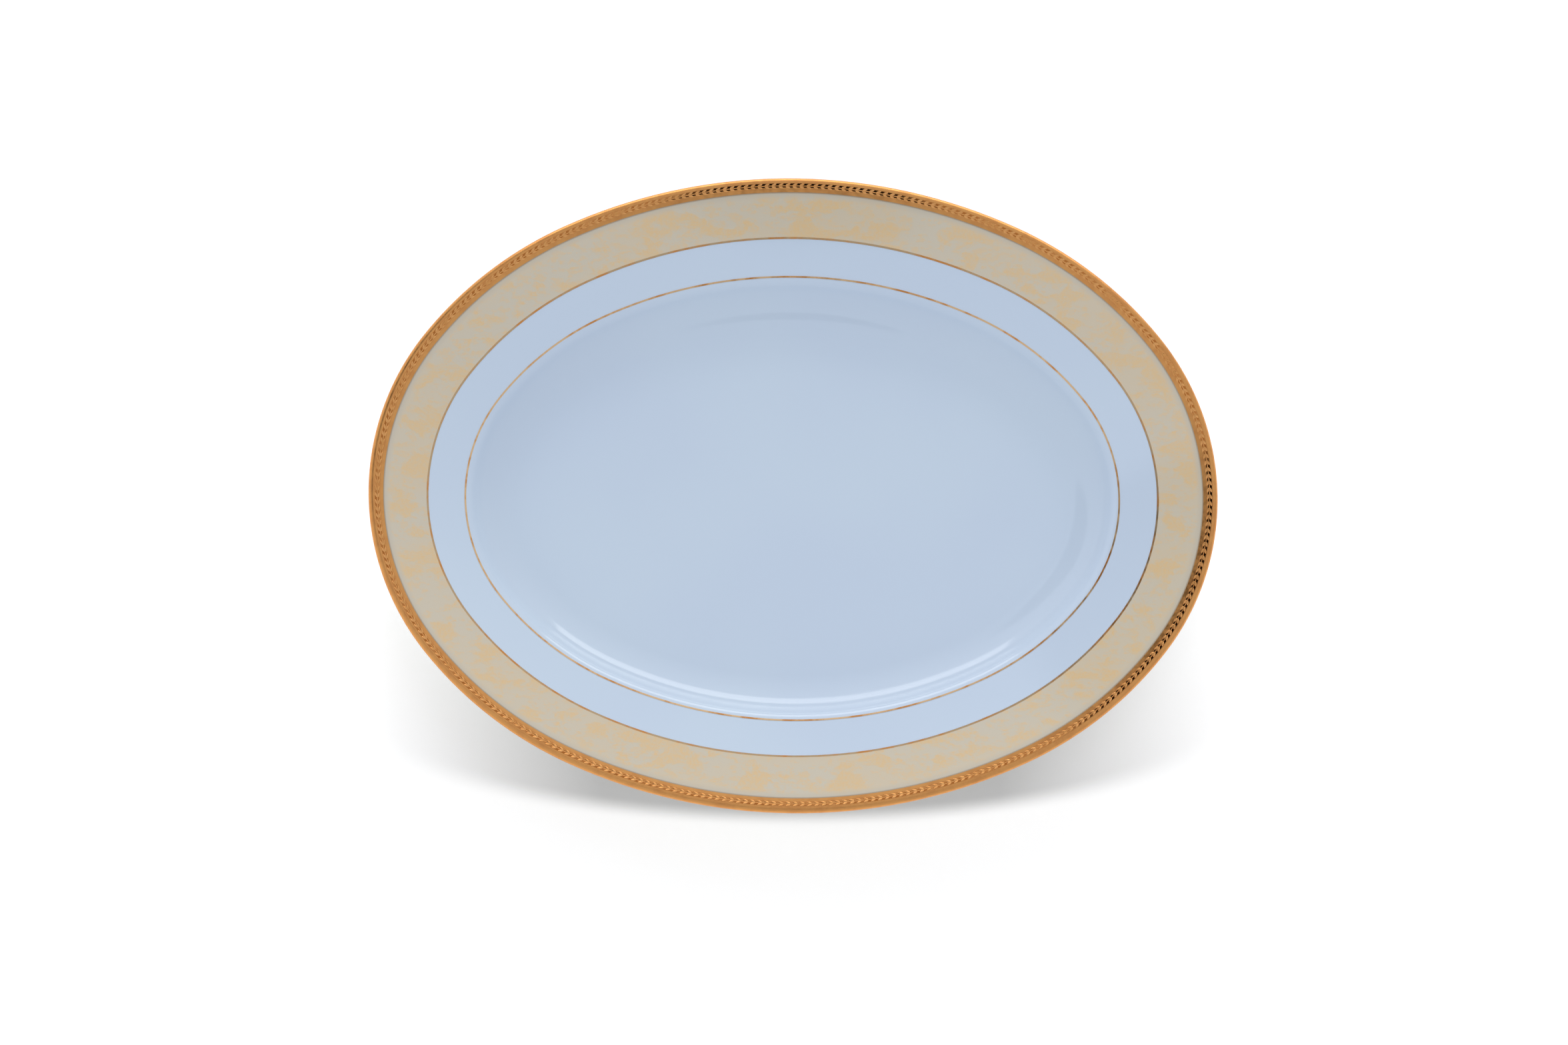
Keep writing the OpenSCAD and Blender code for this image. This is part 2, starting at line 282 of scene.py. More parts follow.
class Section:
    """The cross-section, from the lip inwards. Levels are heights above the bare porcelain."""
    lip_steps = 14
    rim_steps = 22
    verge_steps = 12
    wall_steps = 20
    fillet_steps = 6
    # How far beyond the curves before them the flat floor, the laurel and the verge line start.
    floor_margin = 2 * MM
    laurel_margin = 0.05 * MM
    verge_margin = 0.1 * MM

    def __init__(self, sizes):
        s = sizes
        self.sizes = s
        self.lip_radius = s.lip_thickness / 2
        self.lip_reach = self.lip_radius + s.glaze + s.gold
        self.lip_top_inset = self.lip_reach + self.lip_radius * sin(s.lip_slope)
        self.rim_radius = (s.rim_width - self.lip_top_inset) / (sin(s.lip_slope) - sin(s.verge_slope))
        rim_drop = self.rim_radius * (cos(s.verge_slope) - cos(s.lip_slope))
        verge_drop = s.verge_radius * (cos(s.verge_slope) - cos(s.wall_slope))
        wall_drop = s.wall_radius * (1 - cos(s.wall_slope))
        self.floor_under = s.foot_height
        self.floor_top = s.foot_height + s.wall_thickness
        lip_top = self.floor_top + wall_drop + verge_drop + rim_drop
        self.lip_centre = Vector((self.lip_reach, lip_top - self.lip_radius * cos(s.lip_slope)))
        self.rim_centre = polar(self.lip_centre, self.lip_radius + self.rim_radius,
                                pi / 2 - s.lip_slope)
        self.verge_centre = polar(self.rim_centre, self.rim_radius + s.verge_radius,
                                  3 * pi / 2 - s.verge_slope)
        self.wall_centre = polar(self.verge_centre, s.verge_radius + s.wall_radius,
                                 pi / 2 - s.wall_slope)
        self.under_verge_radius = s.verge_radius - s.wall_thickness
        run = self.verge_centre - self.lip_centre
        self.under_slope = (atan2(-run.y, run.x)
                            - asin((self.lip_radius + self.under_verge_radius) / run.length))
        self.under_wall_radius = s.wall_radius + s.wall_thickness
        self.foot_out = self.wall_centre.x - s.foot_lead
        self.foot_in = self.foot_out + s.foot_width
        fillet_inset = self.foot_out - s.foot_fillet
        across = self.wall_centre.x - fillet_inset
        reach = self.under_wall_radius + s.foot_fillet
        self.fillet_centre = Vector((fillet_inset, self.wall_centre.y - sqrt(reach ** 2 - across ** 2)))
        self.fillet_turn = atan2(self.wall_centre.y - self.fillet_centre.y, across)
        self.panel_centre = Vector((self.foot_in + s.foot_fillet, self.floor_under - s.foot_fillet))
        self.floor_inset = self.foot_in + s.foot_fillet + self.floor_margin
        self.gold_level = s.glaze + s.gold
        self.laurel_start = self.lip_top_inset + self.laurel_margin
        self.laurel_middle = self.laurel_start + s.laurel_width / 2
        self.laurel_end = self.laurel_start + s.laurel_width
        self.ivory_end = s.gold_width + s.ivory_width
        self.verge_start = s.rim_width + self.verge_margin

    def under(self, level):
        """The underside, from the foot ring out to the edge of the lip."""
        s = self.sizes
        return ([Vector((self.foot_out - level, s.bare_height))]
                + arc(self.fillet_centre, s.foot_fillet - level, 0, self.fillet_turn,
                      self.fillet_steps)
                + arc(self.wall_centre, self.under_wall_radius + level, self.fillet_turn + pi,
                      3 * pi / 2 - s.wall_slope, self.wall_steps)
                + arc(self.verge_centre, self.under_verge_radius - level, pi / 2 - s.wall_slope,
                      pi / 2 - self.under_slope, self.verge_steps)
                + arc(self.lip_centre, self.lip_radius + level, 3 * pi / 2 - self.under_slope, pi,
                      self.lip_steps))

    def upper(self, level):
        """The upper side, from the edge of the lip in to the flat floor."""
        s = self.sizes
        return (arc(self.lip_centre, self.lip_radius + level, pi, pi / 2 - s.lip_slope,
                    self.lip_steps)
                + arc(self.rim_centre, self.rim_radius - level, 3 * pi / 2 - s.lip_slope,
                      3 * pi / 2 - s.verge_slope, self.rim_steps)[1:]
                + arc(self.verge_centre, s.verge_radius + level, pi / 2 - s.verge_slope,
                      pi / 2 - s.wall_slope, self.verge_steps)[1:]
                + arc(self.wall_centre, s.wall_radius - level, 3 * pi / 2 - s.wall_slope,
                      3 * pi / 2, self.wall_steps)[1:]
                + [Vector((self.floor_inset, self.floor_top + level))])

    def panel(self, level):
        """The underside inside the foot ring, from the foot ring in to the flat floor."""
        s = self.sizes
        return ([Vector((self.foot_in + level, s.bare_height))]
                + arc(self.panel_centre, s.foot_fillet - level, pi, pi / 2, self.fillet_steps)
                + [Vector((self.floor_inset, self.floor_under - level))])

    def foot_edge(self):
        """The bare edge of the foot ring, from its outer side to its inner side."""
        chamfer = self.sizes.foot_chamfer
        return [Vector((self.foot_out, chamfer)), Vector((self.foot_out + chamfer, 0)),
                Vector((self.foot_in - chamfer, 0)), Vector((self.foot_in, chamfer))]

    def band(self, low, high, start, end):
        """The closed section of a coat on the upper side, between two levels and two insets."""
        top = clip(self.upper(high), start, end)
        bottom = clip(self.upper(low), start, end)
        return top + bottom[::-1]


# ---------------------------------------------------------------- modelling

def start_piece(name):
    """Adds a small plane, shrinks it to one vertex, and leaves it in edit mode."""
    if bpy.context.object and bpy.context.object.mode != "OBJECT":
        bpy.ops.object.mode_set(mode="OBJECT")
    bpy.ops.object.select_all(action="DESELECT")
    bpy.ops.mesh.primitive_plane_add(size=MM)
    piece = bpy.context.object
    piece.name = name
    piece.data.name = name
    bpy.ops.object.mode_set(mode="EDIT")
    bpy.ops.mesh.select_all(action="SELECT")
    bpy.ops.mesh.merge(type="CENTER")
    return piece


def select_vertices(piece, wanted):
    """Selects the vertices that the test picks out, in edit mode."""
    bpy.ops.mesh.select_all(action="DESELECT")
    mesh = bmesh.from_edit_mesh(piece.data)
    for vertex in mesh.verts:
        if wanted(vertex):
            vertex.select_set(True)
    bmesh.update_edit_mesh(piece.data)


def draw_line(piece, points, closed):
    """Extrudes the piece's one vertex along the points, and joins the last to the first when the line is
    closed.
    """
    bpy.ops.transform.translate(value=points[0])
    for a, b in zip(points, points[1:]):
        bpy.ops.mesh.extrude_vertices_move(TRANSFORM_OT_translate={"value": b - a})
    if closed:
        select_vertices(piece, lambda vertex: len(vertex.link_edges) == 1)
        bpy.ops.mesh.edge_face_add()


def sweep_round(oval):
    """Spins the whole mesh round each arc of the oval in turn, and closes the seam."""
    bpy.ops.mesh.select_all(action="SELECT")
    for centre, _, _, turned in oval.arcs:
        bpy.ops.mesh.spin(steps=max(2, round(turned / SWEEP_STEP)), angle=turned,
                          center=(centre.x, centre.y, 0), axis=(0, 0, -1))
    bpy.ops.mesh.select_all(action="SELECT")
    bpy.ops.mesh.remove_doubles(threshold=MERGE_DISTANCE)


def close_and_smooth():
    """Fills open ends, turns the faces outwards, and shades the piece smooth up to its edges."""
    bpy.ops.mesh.select_all(action="SELECT")
    bpy.ops.mesh.fill_holes(sides=0)
    bpy.ops.mesh.select_all(action="SELECT")
    bpy.ops.mesh.normals_make_consistent(inside=False)
    bpy.ops.object.mode_set(mode="OBJECT")
    bpy.ops.object.shade_smooth_by_angle(angle=SMOOTH_ANGLE)


def swept_piece(name, oval, outline, closed):
    """A piece whose section is swept all the way round the oval."""
    piece = start_piece(name)
    draw_line(piece, [oval.place(point) for point in outline], closed)
    sweep_round(oval)
    close_and_smooth()
    return piece


def hand_over(piece, material, slot, *nodes):
    """Gives a finished piece its material, and ties it to the frame."""
    piece.data.materials.clear()
    piece.data.materials.append(material)
    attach(piece, "root")
    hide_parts(*nodes)


# ---------------------------------------------------------------- materials

def put_together(tree, operation, a, b=0.0):
    """Two values or numbers put together by a math node."""
    node = tree.nodes.new("ShaderNodeMath")
    node.operation = operation
    for value, node_input in zip((a, b), node.inputs):
        if isinstance(value, (int, float)):
            node_input.default_value = value
        else:
            tree.links.new(value, node_input)
    return node.outputs["Value"]


def map_range(tree, value, low, high, to_low, to_high, straight=False):
    """Maps low..high of a value to two new values, smoothly or in a straight line."""
    node = tree.nodes.new("ShaderNodeMapRange")
    node.interpolation_type = "LINEAR" if straight else "SMOOTHSTEP"
    node.inputs["From Min"].default_value = low
    node.inputs["From Max"].default_value = high
    node.inputs["To Min"].default_value = to_low
    node.inputs["To Max"].default_value = to_high
    tree.links.new(value, node.inputs["Value"])
    return node.outputs["Result"]


class Finish:
    """A node material that is built up from object coordinates."""

    def __init__(self, name, base, roughness, metallic=0.0):
        self.material = bpy.data.materials.new(name)
        self.material.use_nodes = True
        self.tree = self.material.node_tree
        self.shader = self.tree.nodes["Principled BSDF"]
        self.shader.inputs["Base Color"].default_value = (*base, 1)
        self.shader.inputs["Roughness"].default_value = roughness
        self.shader.inputs["Metallic"].default_value = metallic
        self.shader.inputs["IOR"].default_value = 1.5
        self.where = self.tree.nodes.new("ShaderNodeTexCoord").outputs["Object"]

    def link(self, output, node_input):
        self.tree.links.new(output, node_input)

    def stretched(self, scale):
        """Object coordinates, scaled along each axis."""
        mapping = self.tree.nodes.new("ShaderNodeMapping")
        mapping.inputs["Scale"].default_value = scale
        self.link(self.where, mapping.inputs["Vector"])
        return mapping.outputs["Vector"]

    def noise(self, size, detail=2.0, roughness=0.5, distortion=0.0, where=None):
        """Cloudy noise whose features are about that size."""
        node = self.tree.nodes.new("ShaderNodeTexNoise")
        node.inputs["Scale"].default_value = 1 / size
        node.inputs["Detail"].default_value = detail
        node.inputs["Roughness"].default_value = roughness
        node.inputs["Distortion"].default_value = distortion
        self.link(where or self.where, node.inputs["Vector"])
        return node.outputs["Fac"]

    def ramp(self, value, low, high, to_low=0.0, to_high=1.0, straight=False):
        """Maps low..high of a value to two new values, which are 0 and 1 unless they are given."""
        return map_range(self.tree, value, low, high, to_low, to_high, straight)

    def math(self, operation, a, b=0.0):
        """Two values or numbers put together."""
        return put_together(self.tree, operation, a, b)

    def mix(self, factor, a, b):
        """Two colours mixed by a factor."""
        node = self.tree.nodes.new("ShaderNodeMix")
        node.data_type = "RGBA"
        self.link(factor, node.inputs["Factor"])
        for value, name in ((a, "A"), (b, "B")):
            socket = next(i for i in node.inputs if i.name == name and i.type == "RGBA")
            if isinstance(value, bpy.types.NodeSocket):
                self.link(value, socket)
            else:
                socket.default_value = (*value, 1)
        return next(o for o in node.outputs if o.type == "RGBA")

    def bump(self, height, depth, normal=None):
        """Turns a height of 0 to 1 into a bump of that depth."""
        node = self.tree.nodes.new("ShaderNodeBump")
        node.inputs["Strength"].default_value = 1
        node.inputs["Distance"].default_value = depth
        self.link(height, node.inputs["Height"])
        if normal:
            self.link(normal, node.inputs["Normal"])
        self.link(node.outputs["Normal"], self.shader.inputs["Normal"])
        return node.outputs["Normal"]

    def paint(self, output):
        self.link(output, self.shader.inputs["Base Color"])

    def gloss(self, output):
        self.link(output, self.shader.inputs["Roughness"])


def glaze_finish(finishes):
    """Clear glaze over cool white china: high gloss, faintly wavy, with very small tone changes."""
    finish = Finish("white_glaze", finishes.glaze_white, finishes.glaze_roughness)
    clouds = finish.ramp(finish.noise(110 * MM), 0.35, 0.65)
    finish.paint(finish.mix(clouds, finishes.glaze_white, finishes.glaze_shade))
    handling = finish.noise(30 * MM, detail=3)
    low, high = finishes.glaze_roughness * 0.8, finishes.glaze_roughness * 1.3
    finish.gloss(finish.ramp(handling, 0.4, 0.7, low, high))
    waves = finish.bump(finish.noise(35 * MM, detail=1), 0.06 * MM)
    finish.bump(finish.noise(1.4 * MM, detail=1), 0.0012 * MM, waves)
    return finish.material


def bare_finish(finishes):
    """Unglazed china: matt, finely grained, and greyed where it has slid on tables."""
    finish = Finish("bare_china", finishes.bare_china, 0.8)
    worn = finish.ramp(finish.noise(9 * MM, detail=4, roughness=0.6), 0.52, 0.72)
    finish.paint(finish.mix(worn, finishes.bare_china, finishes.foot_grime))
    finish.bump(finish.noise(0.35 * MM, detail=3), 0.03 * MM)
    return finish.material


def ivory_finish(finishes):
    """Glossy ivory ground, sponged with soft peach blotches that run along the length.

    Beside the gold edge it is plainer and greyer, and it ends in a thin brown line of painted shade,
    where the raised gold would shade the ivory.
    """
    finish = Finish("ivory_ground", finishes.ivory, finishes.glaze_roughness * 1.3)
    where = finish.stretched((0.75, 1.35, 1.0))
    veil = finish.ramp(finish.noise(30 * MM, detail=3, where=where), 0.38, 0.62)
    ground = finish.mix(veil, finishes.ivory_pale, finishes.ivory)
    blotches = finish.noise(12 * MM, detail=6, roughness=0.62, distortion=0.3, where=where)
    large = finish.ramp(blotches, 0.49, 0.57)
    specks = finish.noise(3.6 * MM, detail=4, roughness=0.65, distortion=0.2, where=where)
    small = finish.ramp(specks, 0.5, 0.6, to_high=0.65)
    sponged = finish.math("MAXIMUM", large, small)
    pores = finish.noise(1.5 * MM, detail=3, roughness=0.6)
    broken = finish.ramp(pores, 0.3, 0.66, to_low=0.5, to_high=0.95)
    attribute = finish.tree.nodes.new("ShaderNodeAttribute")
    attribute.attribute_name = NEAR_GOLD
    near_gold = attribute.outputs["Fac"]
    faded = finish.ramp(near_gold, 0, 1, to_low=1, to_high=0.25)
    amount = finish.math("MULTIPLY", finish.math("MULTIPLY", sponged, broken), faded)
    sponge = finish.mix(amount, ground, finishes.peach)
    edge = finish.ramp(near_gold, 0.2, 1)
    edged = finish.mix(edge, sponge, finishes.ivory_edge)
    # Painted shade: the brown line along the gold's edge stands in for the shade that the raised gold
    # casts on the ivory.
    edge_shade = finish.ramp(near_gold, 0.8, 1, to_high=0.7)
    finish.paint(finish.mix(edge_shade, edged, finishes.gold_edge_shade))
    waves = finish.bump(finish.noise(30 * MM, detail=1), 0.05 * MM)
    finish.bump(sponged, 0.006 * MM, waves)
    return finish.material


def gold_finish(name, fresh, worn, roughness, brushing=0.004 * MM):
    """Fired gold: rubbed places in a second tone, small changes of sheen, and fine brush marks."""
    finish = Finish(name, fresh, roughness, metallic=1.0)
    rubbed = finish.ramp(finish.noise(7 * MM, detail=4, roughness=0.6), 0.42, 0.66)
    finish.paint(finish.mix(rubbed, fresh, worn))
    handling = finish.noise(2.5 * MM, detail=3)
    finish.gloss(finish.ramp(handling, 0.3, 0.7, roughness * 0.85, roughness * 1.25))
    brushed = finish.noise(0.5 * MM, where=finish.stretched((1.0, 2.2, 1.0)))
    finish.bump(brushed, brushing)
    return finish.material


def gold_once(name, *settings):
    """A gold by its name, made the first time that it is asked for."""
    return bpy.data.materials.get(name) or gold_finish(name, *settings)


def satin_gold(finishes):
    """The gold of the lip and of the two borders."""
    return gold_once("satin_gold", finishes.gold, finishes.gold_worn, finishes.gold_roughness)


def shaded_polished_gold(finishes):
    """The polished gold that shows between the leaves, with only very faint brush marks; its darker,
    deeper colour is painted shade for that hollow.
    """
    return gold_finish("shaded_polished_gold", finishes.shaded_polished_gold, finishes.gold_worn,
                       finishes.bright_roughness, brushing=0.0012 * MM)


def laurel_gold(finishes):
    """The paler, more satin gold of the raised laurel."""
    return gold_once("raised_gold", finishes.laurel, finishes.gold, finishes.laurel_roughness)


def line_gold(finishes, name, fresh):
    """The gold of a thin line."""
    return gold_finish(name, fresh, finishes.gold_worn, finishes.gold_roughness)


# ---------------------------------------------------------------- operators

class PlatterOperator:
    """What the operators share: the settings, the outline and the section."""
    bl_options = {"REGISTER", "UNDO"}

    def settings(self, context):
        sizes = context.scene.platter_sizes
        return context.scene.platter_finishes, Oval(sizes), Section(sizes)


class PLATTER_OT_porcelain_body(PlatterOperator, bpy.types.Operator):
    """Model the porcelain body, whose bare foot edge is its only part without glaze"""
    bl_idname = "platter.porcelain_body"
    bl_label = "Porcelain Body"

    def execute(self, context):
        finishes, oval, section = self.settings(context)
        outline = (section.upper(0)[::-1] + section.under(0)[::-1][1:]
                   + section.foot_edge() + section.panel(0))
        piece = swept_piece("china_body", oval, outline, closed=False)
        hand_over(piece, bare_finish(finishes), "porcelain", "porcelain_body")
        return {"FINISHED"}


class PLATTER_OT_glaze(PlatterOperator, bpy.types.Operator):
    """Model the two coats of glaze, over the body and inside the foot ring"""
    bl_idname = "platter.glaze"
    bl_label = "Glaze"

    def execute(self, context):
        finishes, oval, section = self.settings(context)
        level = section.sizes.glaze
        material = glaze_finish(finishes)
        outline = (section.upper(level)[::-1] + section.under(level)[::-1][1:]
                   + section.under(0) + section.upper(0)[1:])
        coat = swept_piece("white_glaze_coat", oval, outline, closed=False)
        hand_over(coat, material, "glaze", "glaze_coat")
        outline = section.panel(level)[::-1] + section.panel(0)
        panel = swept_piece("white_foot_panel", oval, outline, closed=False)
        hand_over(panel, material, "glaze", "foot_panel_glaze")
        return {"FINISHED"}


class PLATTER_OT_ivory_band(PlatterOperator, bpy.types.Operator):
    """Model the ivory band with its sponged blotches"""
    bl_idname = "platter.ivory_band"
    bl_label = "Ivory Band"

    def execute(self, context):
        finishes, oval, section = self.settings(context)
        s = section.sizes
        outline = section.band(s.glaze, s.glaze + s.ground, s.gold_width, section.ivory_end)
        piece = swept_piece("marbled_ivory_band", oval, outline, closed=True)
        nearness = piece.data.attributes.new(NEAR_GOLD, "FLOAT", "POINT")
        for vertex, entry in zip(piece.data.vertices, nearness.data):
            away = oval.inset(vertex.co) - s.gold_width
            entry.value = max(0, 1 - away / GREY_STRIP)
        hand_over(piece, ivory_finish(finishes), "ivory_ground", "ivory_ground_band")
        return {"FINISHED"}


class PLATTER_OT_gold_edge(PlatterOperator, bpy.types.Operator):
    """Model the gold that covers the lip and carries the laurel"""
    bl_idname = "platter.gold_edge"
    bl_label = "Gold Edge"

    def execute(self, context):
        finishes, oval, section = self.settings(context)
        s = section.sizes
        outer = (clip(section.under(section.gold_level)[::-1], 0, s.gold_wrap)[::-1]
                 + clip(section.upper(section.gold_level), 0, s.gold_width))
        inner = (clip(section.under(s.glaze)[::-1], 0, s.gold_wrap)[::-1]
                 + clip(section.upper(s.glaze), 0, s.gold_width))
        piece = swept_piece("burnished_gold_edge", oval, outer + inner[::-1], closed=True)
        hand_over(piece, satin_gold(finishes), "burnished_gold", "gold_edge_band")
        # The faces between the leaves get the polished gold, whose darker colour is painted shade.
        piece.data.materials.append(shaded_polished_gold(finishes))
        for face in piece.data.polygons:
            inset = oval.inset(face.center)
            if section.laurel_start < inset < section.laurel_end and face.normal.z > 0:
                face.material_index = 1
        return {"FINISHED"}


class PLATTER_OT_gold_borders(PlatterOperator, bpy.types.Operator):
    """Model the two plain borders beside the laurel"""
    bl_idname = "platter.gold_borders"
    bl_label = "Gold Borders"

    def execute(self, context):
        finishes, oval, section = self.settings(context)
        s = section.sizes
        low, high = section.gold_level, section.gold_level + s.border
        for name, node, start, end in (
                ("lip_gold_border", "gold_lip_border", section.lip_reach, section.laurel_start),
                ("inner_gold_border", "gold_inner_border", section.laurel_end, s.gold_width)):
            piece = swept_piece(name, oval, section.band(low, high, start, end), closed=True)
            hand_over(piece, satin_gold(finishes), "burnished_gold", node)
        return {"FINISHED"}


class PLATTER_OT_laurel(PlatterOperator, bpy.types.Operator):
    """Model the laurel: its stem, and a row of leaves on each side of it"""
    bl_idname = "platter.laurel"
    bl_label = "Laurel"

    # Where the first leaf on each arc of the oval grows, in steps from leaf to leaf.
    first_leaf = 0.55
    # The gap beyond a leaf's tip, and how full the leaf is at these shares of its run.
    tip_gap = 0.03 * MM
    shares = (0, 0.3, 0.7, 1)
    fullness = (0.7, 1, 1, 0.6)
    # How far in the crest starts, in leaf widths, and the share of the height that slopes.
    crest_inset = 0.17
    crest_share = 0.45

    def leaf_outline(self, section):
        """A leaf that grows from the stem at the origin, out along +X and back along -Y."""
        s = section.sizes
        run = (s.laurel_width - s.stem_width) / 2 - self.tip_gap
        half_girth = s.leaf_width / sin(s.leaf_angle) / 2
        middle = [Vector((t * run, -t * run / tan(s.leaf_angle), 0)) for t in self.shares]
        half = [Vector((0, fullness * half_girth, 0)) for fullness in self.fullness]
        return ([m + h for m, h in zip(middle, half)]
                + [m - h for m, h in zip(middle, half)][::-1])

    def leaf(self, section):
        """One leaf with a sloping border and a flat crest."""
        s = section.sizes
        piece = start_piece("leaf")
        points = self.leaf_outline(section)
        draw_line(piece, points, closed=True)
        bpy.ops.mesh.select_all(action="SELECT")
        bpy.ops.mesh.edge_face_add()
        slope_height = s.leaf_height * self.crest_share
        bpy.ops.mesh.extrude_region_move(
            TRANSFORM_OT_translate={"value": (0, 0, s.leaf_height - slope_height)})
        bpy.ops.mesh.inset(thickness=s.leaf_width * self.crest_inset, depth=slope_height)
        bpy.ops.mesh.select_all(action="SELECT")
        bpy.ops.mesh.remove_doubles(threshold=MERGE_DISTANCE)
        close_and_smooth()
        return piece

    def row(self, oval, section, leaf, side, name):
        """Copies of a leaf all round the oval, on the outer side (1) or the inner side (-1)."""
        s = section.sizes
        reach = section.rim_radius - section.gold_level
        tilt = asin((section.rim_centre.x - section.laurel_middle) / reach)
        height = section.rim_centre.y - reach * cos(tilt)
        runs = []
        for centre, radius, first, turned in oval.arcs:
            count = round(turned * (radius - section.laurel_middle) / s.leaf_pitch)
            run = leaf.copy()
            run.data = leaf.data.copy()
            bpy.context.collection.objects.link(run)
            run.matrix_world = (
                Matrix.Translation((centre.x, centre.y, 0))
                @ Matrix.Rotation(first + turned * self.first_leaf / count, 4, "Z")
                @ Matrix.Translation((radius - section.laurel_middle, 0, height))
                @ Matrix.Rotation(-tilt, 4, "Y")
                @ Matrix.Scale(side, 4, (1, 0, 0))
                @ Matrix.Translation((s.stem_width / 2, 0, 0)))
            bpy.ops.object.select_all(action="DESELECT")
            run.select_set(True)
            bpy.context.view_layer.objects.active = run
            bpy.ops.object.transform_apply(location=True, rotation=True, scale=True)
            bpy.ops.object.mode_set(mode="EDIT")
            bpy.ops.mesh.select_all(action="SELECT")
            bpy.ops.mesh.normals_make_consistent(inside=False)
            bpy.ops.mesh.spin(steps=count - 1, angle=turned * (count - 1) / count, dupli=True,
                              center=(centre.x, centre.y, 0), axis=(0, 0, -1))
            bpy.ops.object.mode_set(mode="OBJECT")
            runs.append(run)
        bpy.ops.object.select_all(action="DESELECT")
        for run in runs:
            run.select_set(True)
        bpy.context.view_layer.objects.active = runs[0]
        bpy.ops.object.join()
        joined = bpy.context.object
        joined.name = name
        joined.data.name = name
        bpy.ops.object.shade_smooth_by_angle(angle=SMOOTH_ANGLE)
        return joined

    def execute(self, context):
        finishes, oval, section = self.settings(context)
        s = section.sizes
        level = section.gold_level
        outline = section.band(level, level + s.stem_height,
                               section.laurel_middle - s.stem_width / 2,
                               section.laurel_middle + s.stem_width / 2)
        stem = swept_piece("gold_laurel_stem", oval, outline, closed=True)
        hand_over(stem, laurel_gold(finishes), "laurel_gold", "laurel_stem")
        leaf = self.leaf(section)
        for side, name, node in ((1, "outer_gold_leaves", "outer_laurel_leaves"),
                                 (-1, "inner_gold_leaves", "inner_laurel_leaves")):
            row = self.row(oval, section, leaf, side, name)
            hand_over(row, laurel_gold(finishes), "laurel_gold", node)
        bpy.data.objects.remove(leaf)
        return {"FINISHED"}


class PLATTER_OT_gold_lines(PlatterOperator, bpy.types.Operator):
    """Model the gold line inside the ivory band and the gold line on the verge"""
    bl_idname = "platter.gold_lines"
    bl_label = "Gold Lines"

    def execute(self, context):
        finishes, oval, section = self.settings(context)
        s = section.sizes
        for name, node, start, end, fresh in (
                ("ivory_gold_line", "band_gold_line", section.ivory_end,
                 section.ivory_end + s.band_line, finishes.line_gold),
                ("well_gold_line", "verge_gold_line", section.verge_start,
                 section.verge_start + s.verge_line, finishes.verge_gold)):
            outline = section.band(s.glaze, section.gold_level, start, end)
            piece = swept_piece(name, oval, outline, closed=True)
            hand_over(piece, line_gold(finishes, name, fresh), "burnished_gold", node)
        return {"FINISHED"}


